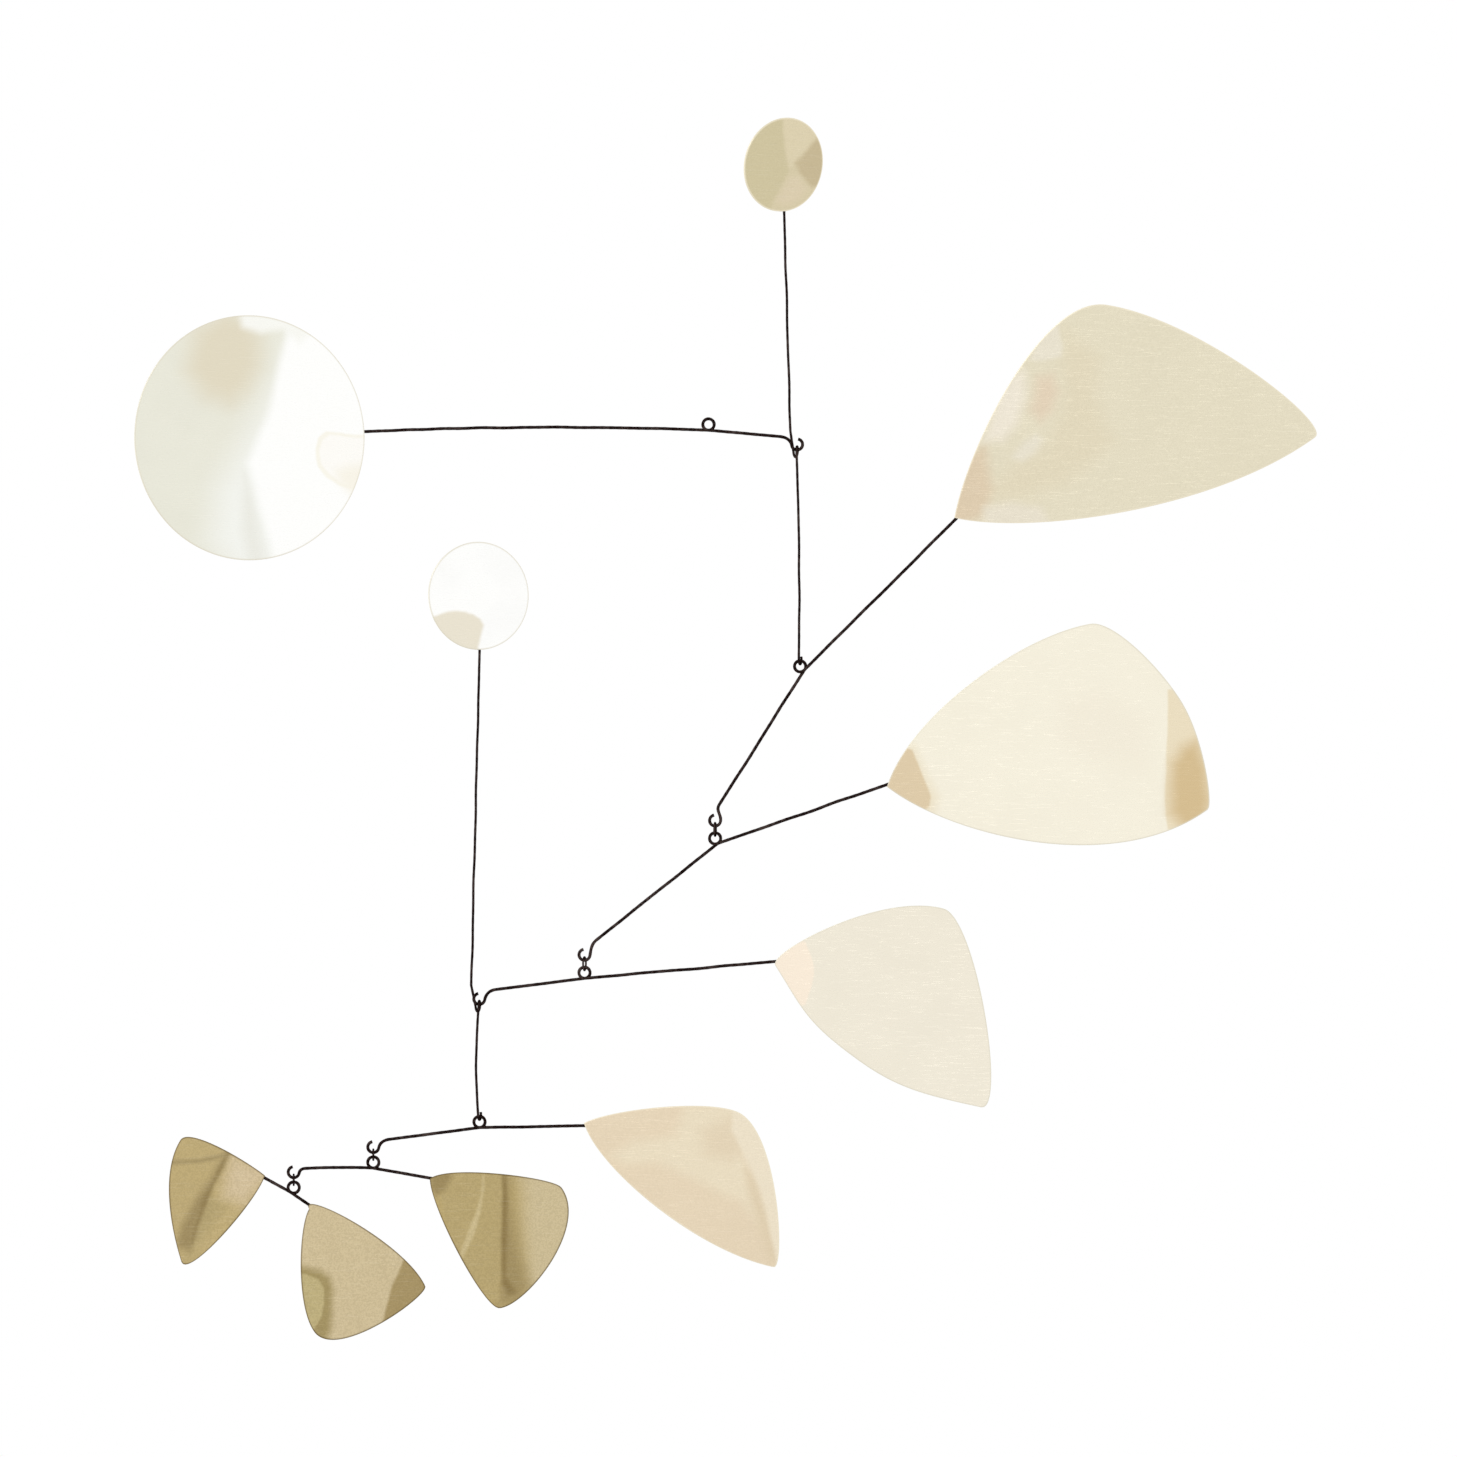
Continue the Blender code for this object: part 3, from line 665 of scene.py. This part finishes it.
DISC_ROUGHNESS = 0.30
# The near-white tone of the small disc and the white patches of the large disc are painted
# reflection of a bright light; the other patches are painted reflections and shade, partly tarnish.
DISC_TONES = {
    "large_disc": ((234, 233, 219), (
        Patch((226, 218, 195), 18, [
            (-256.2, 46.2), (-241.8, 56.2), (-229.2, 52.2), (-223.2, 43.2), (-223.2, 28.2),
            (-229.2, 16.2), (-238.2, 9.7), (-250.2, 13.2), (-260.2, 26.2),
        ]),
        Patch((244, 245, 239), 26, [
            (-206.2, 62.2), (-208.2, 42.2), (-213.2, 26.2), (-223.2, 6.2), (-234.2, -12.8),
            (-245.2, -32.8), (-248.2, -57.8), (-236.8, -77.8), (-189.2, -77.8), (-189.2, 62.2),
        ]),
        Patch((236, 236, 228), 9, [
            (-231.2, -24.8), (-227.2, -37.8), (-223.2, -55.3), (-218.2, -75.3),
            (-229.2, -75.3), (-232.8, -52.8),
        ]),
        Patch((255, 255, 253), 7, [
            (-207.2, 62.2), (-210.2, 47.7), (-212.2, 39.7), (-215.8, 20.7), (-220.2, 3.2),
            (-224.8, -8.8), (-229.8, -19.3), (-226.8, -28.8), (-224.2, -40.3), (-220.8, -52.8),
            (-215.2, -77.8), (-154.2, -77.8), (-154.2, 62.2),
        ]),
        Patch((249, 249, 243), 6, [
            (-235.2, 59.7), (-232.2, 48.2), (-223.2, 45.2), (-212.2, 46.2), (-204.2, 39.7),
            (-198.2, 45.2), (-204.2, 53.2), (-214.2, 59.7),
        ]),
        Patch((250, 247, 236), 1.4, [
            (-191.2, -3.8), (-183.2, -3.8), (-176.9, -4.8), (-162.2, -5.8), (-162.2, -31.8),
            (-176.9, -33.3), (-184.2, -31.3), (-190.8, -26.8), (-195.2, -20.8),
            (-196.4, -12.3), (-194.8, -6.8),
        ]),
        Patch((254, 252, 247), 1.5, [
            (-189.2, -5.3), (-183.2, -5.3), (-176.9, -6.3), (-161.2, -7.3), (-161.2, -29.8),
            (-176.2, -31.3), (-183.2, -29.8), (-189.2, -25.3), (-193.2, -19.8),
            (-194.4, -12.8), (-192.8, -8.3),
        ]),
        Patch((249, 245, 233), 9, [
            (-186.2, -22.8), (-179.2, -20.3), (-168.2, -18.8), (-168.2, -32.8),
            (-179.2, -34.8), (-185.2, -28.8),
        ]),
    )),
    "top_disc": ((217, 205, 172), (
        Patch((209, 198, 162), 3, [
            (37.2, 157.2), (38, 143.4), (38.2, 136.2), (40.1, 125.7), (35.8, 117.2),
            (32.2, 110.7), (29.8, 102.2), (13.2, 104.7), (13.2, 157.2),
        ]),
        Patch((222, 210, 178), 2.5, [
            (37.2, 156.2), (45.8, 156.2), (55.8, 144.2), (47.2, 134.8), (40.8, 128.2),
            (38.8, 136.2),
        ]),
        Patch((201, 186, 151), 3.5, [
            (43.2, 130.7), (47.2, 134.8), (55.8, 144.2), (62.8, 137.2), (62.8, 119.7),
            (51.4, 118.5), (45.2, 125.2),
        ]),
        Patch((221, 207, 177), 5, [
            (39.8, 123.2), (44.8, 124.2), (49.8, 118.2), (45.8, 112.2), (37.8, 109.2),
            (33.8, 111.2),
        ]),
    )),
    "small_disc": ((255, 255, 253), (
        Patch((234, 227, 209), 2.2, [
            (-141.8, -96.8), (-137.8, -95.8), (-134.2, -94.6), (-129.8, -93.3),
            (-125.8, -92.9), (-121.2, -93.3), (-117.2, -94.8), (-114.2, -97.3),
            (-112.8, -100.3), (-113.8, -104.8), (-115.2, -112.8), (-115.2, -117.8),
            (-125.6, -117.8), (-139.2, -107.8),
        ]),
    )),
}
LARGE_DISC_END = LEVEL_WIRES["top_arm"].left
LARGE_DISC_AT = at(LARGE_DISC_END.across, LARGE_DISC_END.up)
DISC_WIRES = {
    "large_disc": ("top_arm", LARGE_DISC_AT, ARM_WIRE, "pale_brass"),
    "top_disc": ("upper_upright", UPRIGHT_PLATE_AT["upper_upright"], UPRIGHT_WIRE, "brass"),
    "small_disc": ("lower_upright", UPRIGHT_PLATE_AT["lower_upright"], UPRIGHT_WIRE, "pale_brass"),
}


def dress(piece, tone, patches, brush, roughness, body, slot, node):
    """Measure a plate's distance to each of its patches of painted reflection and shade, partly
    tarnish, and give it its finish.
    """
    points = np.empty(len(piece.data.vertices) * 3, np.float32)
    piece.data.vertices.foreach_get("co", points)
    flat = points.reshape(-1, 3)[:, [0, 2]]
    for number, painted_light_and_tarnish in enumerate(patches, start=1):
        attribute(piece, f"patch_{number}", inside(flat, painted_light_and_tarnish.edge_mm))
    finish = brass_finish(f"{node}_brass", slot, tone, patches, brush, roughness)
    put(piece, body, finish, node)


for seed, (node, shape) in enumerate(DISC_SHAPES.items()):
    body, wire_at, wire_size, slot = DISC_WIRES[node]
    around = once_round(DISC_POINTS)
    outline = shape.radius * np.stack([np.cos(around), np.sin(around)], axis=-1)
    rim_across, _, rim_up = shape.radius * direction(shape.rim)[0]
    place = facing(wire_at, wire_size, shape.turn, shape.lean, rim_across, rim_up)
    piece = sheet_plate(f"{node}_plate", outline, shape.bend, shape.radius, place, seed)
    tone, patches = DISC_TONES[node]
    dress(piece, tone, patches, shape.brush, DISC_ROUGHNESS, body, slot, node)

# Leaves. Seven rounded triangles of the same sheet, cut freehand, creased or curled a little
# across and left with their tarnish. Each is soldered by its smallest corner to the front of
# a level wire's end.
OUTLINE_STEP = 0.00125
TURN_STEPS = 160
LEAF_SEED = 10

# A turn is a point of the outline, the heading there and the handles before and after it, in
# shares of the leaf's length. At a corner, the outline leaves with a heading of its own.
Turn = namedtuple("Turn", "across up heading before after leaves", defaults=(None,))
Leaf = namedtuple("Leaf", "body end length bend slot tone brush roughness patches turns")
# The patches of each leaf are painted reflections, highlights and crease shade, partly also
# tarnish.
LEAVES = {
    "leaf_1": Leaf(
        "leaf_1_arm", "right", 0.1873, Bend(15, 0.214, 1.014, 0.0150),
        "brass", (230, 222, 197), 30, 0.28,
        (
            Patch((227, 217, 190), 14, [
                (177.8, 47.2), (195.8, 33.7), (194.2, 14.7), (198.2, -0.3), (202.8, -7.8),
                (189.8, -20.3), (178.8, -28.8), (160.8, -36.3), (145.8, -38.8), (138.2, -32.8),
                (149.8, -22.8), (168.8, -10.8), (175.8, 7.2), (176.8, 24.7),
            ]),
            Patch((223, 205, 177), 9, [
                (118.2, -47.8), (129.8, -15.3), (137.8, -11.8), (141.8, -32.8), (138.2, -45.3),
                (125.8, -50.3),
            ]),
            Patch((239, 231, 214), 9, [
                (138.2, -7.8), (143.8, 12.2), (150.8, 25.2), (157.8, 26.2), (158.8, 14.7),
                (153.8, -0.3), (146.8, -6.8),
            ]),
            Patch((234, 227, 208), 3.5, [
                (160.8, 32.2), (168.8, 49.7), (174.8, 51.2), (176.8, 39.7), (175.8, 34.2),
                (166.8, 32.2),
            ]),
            Patch((228, 211, 186), 9, [
                (164.8, 23.2), (171.8, 24.2), (174.8, 16.2), (171.8, 6.2), (165.8, 1.2),
                (160.8, 7.2),
            ]),
            Patch((233, 226, 207), 6, [
                (152.8, -16.3), (157.8, -8.8), (163.8, -4.8), (166.8, -7.8), (162.8, -13.8),
                (156.8, -17.8),
            ]),
            Patch((233, 225, 206), 7, [
                (137.8, -41.8), (150.8, -38.8), (165.8, -41.8), (170.8, -50.3), (137.8, -50.3),
            ]),
        ),
        (
            Turn(0.0043, 0.0112, 167, 0.1970, 0.1831, leaves=80),
            Turn(0.4116, 0.5798, 351, 0.1778, 0.2520),
            Turn(0.9669, 0.2258, 216, 0.0593, 0.3433),
        ),
    ),
    "leaf_2": Leaf(
        "leaf_2_arm", "right", 0.1627, Bend(10, 0.307, 1.008, -0.0165),
        "pale_brass", (246, 240, 222), 100, 0.28,
        (
            Patch((236, 225, 199), 9, [
                (79.8, -155.8), (102.8, -161.3), (107.8, -173.8), (113.8, -186.8),
                (111.8, -196.8), (95.8, -205.8), (79.8, -193.8),
            ]),
            Patch((222, 203, 170), 1.5, [
                (79.8, -155.8), (101.9, -162.6), (103.8, -167.8), (106.2, -173.8),
                (108.8, -179.8), (110.8, -185.8), (110.2, -190.8), (95.8, -202.8),
                (79.8, -193.8),
            ]),
            Patch((243, 236, 218), 18, [
                (175.8, -137.8), (195.8, -132.8), (220.8, -147.8), (215.8, -170.3),
                (190.8, -167.8), (175.8, -157.8),
            ]),
            Patch((235, 222, 193), 1.6, [
                (229.8, -132.8), (260.8, -132.8), (260.8, -205.3), (229.8, -202.3),
                (228.8, -187.8), (228.8, -162.8),
            ]),
            Patch((214, 190, 146), 11, [
                (231.2, -169.8), (236.8, -161.3), (244.2, -158.3), (249.8, -171.8),
                (251.2, -187.8), (248.2, -201.8), (237.8, -201.8), (231.2, -193.8),
            ]),
        ),
        (
            Turn(0.0068, -0.0043, 142, 0.2440, 0.2219, leaves=73),
            Turn(0.6318, 0.4966, 10, 0.2243, 0.0756),
            Turn(0.9213, 0.2422, 299, 0.1168, 0.1309),
            Turn(0.9932, -0.0744, 216, 0.0215, 0.3559),
        ),
    ),
    "leaf_3": Leaf(
        "leaf_3_arm", "right", 0.1277, Bend(-25, 0.274, 0.979, 0.0235),
        "pale_brass", (240, 233, 216), 65, 0.28,
        (
            Patch((249, 235, 216), 1.2, [
                (23.2, -250.3), (48.5, -258.4), (50.2, -262.8), (51.8, -268.3), (52.6, -274.9),
                (51.8, -280.8), (50.2, -285.8), (48.5, -290.6), (23.2, -295.3),
            ]),
        ),
        (
            Turn(0.0039, -0.0196, 122, 0.1989, 0.0720, leaves=143),
            Turn(0.6601, 0.2075, 345, 0.2608, 0.1363),
            Turn(0.8066, -0.5701, 168, 0.1073, 0.2459),
            Turn(0.3203, -0.3821, 144, 0.1840, 0.2459),
        ),
    ),
    "leaf_4": Leaf(
        "leaf_4_arm", "right", 0.1200, Bend(-25, 0.250, 0.983, -0.0208),
        "brass", (232, 215, 187), 140, 0.30,
        (
            Patch((235, 222, 195), 9, [
                (-48.8, -365.3), (-36.8, -358.8), (-16.8, -355.3), (-11.8, -340.3),
                (15.8, -340.3), (11.8, -355.3), (19.8, -371.8), (26.8, -385.3), (33.2, -405.3),
                (26.8, -400.3), (16.8, -388.8), (3.2, -382.3), (-11.8, -375.3),
                (-26.8, -368.8), (-41.8, -369.8),
            ]),
            Patch((229, 213, 185), 12, [
                (-4.2, -352.8), (10.8, -346.8), (16.8, -361.8), (10.8, -367.8), (-1.2, -364.8),
            ]),
            Patch((225, 208, 178), 8, [
                (18.8, -372.8), (24.2, -378.8), (29.8, -395.8), (33.2, -410.8), (35.2, -419.8),
                (30.8, -418.8), (25.8, -401.8), (19.8, -384.8),
            ]),
            Patch((238, 226, 202), 3.5, [
                (12.2, -337.8), (12.2, -352.8), (16.8, -362.8), (23.8, -377.8), (29.2, -395.3),
                (32.8, -410.3), (35.2, -427.8), (50.8, -427.8), (50.8, -337.8),
            ]),
        ),
        (
            Turn(0.0117, 0.0117, 106, 0.1867, 0.1342, leaves=27),
            Turn(0.6700, 0.0483, 326, 0.1242, 0.1917),
            Turn(0.8025, -0.5900, 168, 0.0508, 0.3392),
        ),
    ),
    "leaf_5": Leaf(
        "leaf_5_arm", "right", 0.0756, Bend(0, 0.489, 0.926, -0.0529, curl=False),
        "old_brass", (190, 170, 118), 10, 0.34,
        (
            Patch((208, 192, 153), 13, [
                (-94.8, -362.8), (-59.2, -362.8), (-59.2, -422.8), (-89.2, -440.3),
            ]),
            Patch((166, 147, 102), 11, [
                (-104.2, -362.8), (-100.2, -362.8), (-98.8, -387.8), (-96.2, -407.8),
                (-90.2, -430.8), (-94.2, -439.8), (-105.2, -439.8), (-104.8, -407.8),
            ]),
            Patch((186, 167, 118), 1.6, [
                (-134.2, -362.8), (-104.2, -362.8), (-102.8, -385.3), (-103.4, -402.3),
                (-103.8, -423.8), (-105.2, -437.8), (-119.2, -432.8), (-134.2, -387.8),
            ]),
            Patch((145, 125, 80), 3.5, [
                (-103.8, -362.8), (-101.8, -362.8), (-100.5, -385.3), (-101.2, -407.8),
                (-101.2, -425.8), (-96.2, -433.8), (-100.2, -434.8), (-103.2, -429.8),
                (-103.2, -407.8), (-102.8, -385.3),
            ]),
            Patch((204, 187, 142), 2.2, [
                (-113.2, -371.8), (-111.8, -371.8), (-111.8, -382.8), (-114.2, -394.8),
                (-118.2, -405.8), (-122.8, -415.8), (-124.2, -415.3), (-119.8, -404.8),
                (-116.2, -393.8), (-113.8, -382.8),
            ]),
            Patch((160, 141, 97), 5, [
                (-139.2, -369.8), (-130.8, -370.8), (-127.8, -375.8), (-130.8, -381.8),
                (-135.8, -386.8), (-139.2, -382.8),
            ]),
        ),
        (
            Turn(0.0106, -0.0040, 89, 0.1786, 0.1614, leaves=36),
            Turn(0.8810, -0.0648, 306, 0.0833, 0.3175),
            Turn(0.4735, -0.8624, 187, 0.1865, 0.1058),
        ),
    ),
    "leaf_6": Leaf(
        "bottom_arm", "left", 0.0595, Bend(151, 0.387, 0.790, 0.0504, curl=False),
        "old_brass", (195, 175, 125), 75, 0.34,
        (
            Patch((213, 194, 158), 12, [
                (-239.2, -363.8), (-220.2, -374.8), (-231.2, -389.8), (-243.2, -386.8),
            ]),
            Patch((183, 165, 118), 9, [
                (-248.2, -385.8), (-241.2, -390.8), (-252.2, -407.8), (-260.2, -418.8),
                (-264.2, -407.8), (-258.2, -396.8),
            ]),
            Patch((162, 143, 100), 6.5, [
                (-241.2, -363.8), (-239.2, -364.8), (-250.2, -386.8), (-255.2, -399.8),
                (-259.2, -413.8), (-266.8, -410.8), (-263.2, -399.8), (-254.8, -386.3),
            ]),
            Patch((148, 129, 86), 3, [
                (-241, -363.8), (-239.5, -364.8), (-250.8, -387.8), (-254.8, -399.8),
                (-257.8, -409.8), (-259.2, -409.3), (-256.2, -398.8), (-252.2, -387.3),
            ]),
            Patch((168, 150, 107), 3, [
                (-270.2, -367.8), (-254.2, -367.1), (-241.2, -364.1), (-241.2, -366.3),
                (-254.2, -369.3), (-270.2, -370.3),
            ]),
        ),
        (
            Turn(-0.0084, 0.0269, 73, 0.2303, 0.1916, leaves=141),
            Turn(-0.7176, 0.3277, 238, 0.1345, 0.3345),
            Turn(-0.7109, -0.6975, 288, 0.2622, 0.1647),
        ),
    ),
    "leaf_7": Leaf(
        "bottom_arm", "right", 0.0721, Bend(-21, 0.763, 0.971, -0.0277, curl=False),
        "old_brass", (210, 193, 155), 120, 0.32,
        (
            Patch((167, 150, 103), 6, [
                (-211.8, -419.8), (-201.8, -421.3), (-194.2, -422.8), (-189.2, -426.3),
                (-187.2, -432.8), (-187.8, -442.8), (-188.8, -452.8), (-191.8, -461.8),
                (-211.8, -461.8),
            ]),
            Patch((193, 178, 130), 1.6, [
                (-211.8, -424.8), (-201.2, -425.3), (-195.2, -427.3), (-192.2, -431.8),
                (-191.8, -438.8), (-193.2, -445.8), (-197.2, -452.8), (-204.2, -455.8),
                (-211.8, -455.8),
            ]),
            Patch((171, 151, 106), 2, [
                (-152.2, -416.8), (-136.8, -416.8), (-136.8, -460.3), (-164.8, -460.3),
                (-163.2, -448.8), (-160.8, -438.8), (-156.2, -426.8),
            ]),
        ),
        (
            Turn(0.0055, -0.0319, 59, 0.1415, 0.1748, leaves=119),
            Turn(0.8114, -0.5673, 295, 0.3454, 0.0707),
            Turn(0.0402, -0.8821, 125, 0.2677, 0.2219),
        ),
    ),
}


def leaf_outline(turns, size):
    """A closed line of cubics: each leaves a turn along its heading and arrives at the next
    along that one's heading. The line times the leaf's size gets points at even distances."""
    parts = []
    for here, there in zip(turns, turns[1:] + turns[:1]):
        out = direction(here.heading if here.leaves is None else here.leaves)[0, [0, 2]]
        arriving = direction(there.heading)[0, [0, 2]]
        start, end = np.array([here.across, here.up]), np.array([there.across, there.up])
        handles = start, start + here.after * out, end - there.before * arriving, end
        parts.append(cubic(handles, TURN_STEPS)[:-1])
    line = np.concatenate(parts + [parts[0][:1]])
    return evenly(np.pad(line, ((0, 0), (0, 1))) * size, OUTLINE_STEP)[:-1, :2]


for seed, (node, leaf) in enumerate(LEAVES.items(), start=LEAF_SEED):
    end = getattr(LEVEL_WIRES[leaf.body], leaf.end)
    wire_at = EYE_AT[leaf.body] + at(end.across, end.up)
    place = facing(wire_at, ARM_WIRE)
    outline = leaf_outline(leaf.turns, leaf.length)
    piece = sheet_plate(f"{node}_plate", outline, leaf.bend, leaf.length, place, seed)
    dress(piece, leaf.tone, leaf.patches, leaf.brush, leaf.roughness, leaf.body, leaf.slot, node)

# Studio. A pale floor well under the mobile, a pale surround, soft lights and a long lens
# that looks straight at the front.
VIEW_CENTRE = (0.010, 0, -0.152)
VIEW_WIDTH = 0.7285
CAMERA_AWAY = 9.0
FLOOR_UP = -0.62
FLOOR_RADIUS = 0.85
FLOOR_SIDES = 96

bpy.ops.mesh.primitive_circle_add(
    vertices=FLOOR_SIDES, radius=FLOOR_RADIUS, fill_type="NGON", location=(0, 0, FLOOR_UP)
)
floor = bpy.context.object
floor.name = "studio_floor"
pale = Surface("pale_floor")
floor_tone = pale.mix(pale.noise(scale=6, detail=2), seen(238, 238, 238), seen(244, 244, 244))
floor.data.materials.append(pale.finish(Base_Color=floor_tone, Roughness=0.9))

world = bpy.data.worlds.new("studio")
world.use_nodes = True
background = world.node_tree.nodes["Background"]
background.inputs["Color"].default_value = (1, 1, 1, 1)
background.inputs["Strength"].default_value = 1.0
bpy.context.scene.world = world


def soft_light(name, place, width, power):
    """A square lamp that faces the middle of the mobile."""
    lamp = bpy.data.lights.new(name, "AREA")
    lamp.size, lamp.energy = width, power
    light = bpy.data.objects.new(name, lamp)
    light.location = place
    light.rotation_euler = (Vector(VIEW_CENTRE) - Vector(place)).to_track_quat("-Z", "Y").to_euler()
    bpy.context.scene.collection.objects.link(light)


soft_light("key", place=(-1.6, -2.2, 1.6), width=1.4, power=12)
soft_light("fill", place=(-2.4, -1.0, -0.4), width=1.6, power=5)

camera = bpy.data.objects.new("camera", bpy.data.cameras.new("camera"))
camera.data.lens = camera.data.sensor_width * CAMERA_AWAY / VIEW_WIDTH
camera.data.clip_end = 100
camera.location = (VIEW_CENTRE[0], -CAMERA_AWAY, VIEW_CENTRE[2])
camera.rotation_euler = (math.radians(90), 0, 0)
bpy.context.scene.collection.objects.link(camera)
bpy.context.scene.camera = camera
bpy.context.scene.view_settings.view_transform = "Standard"
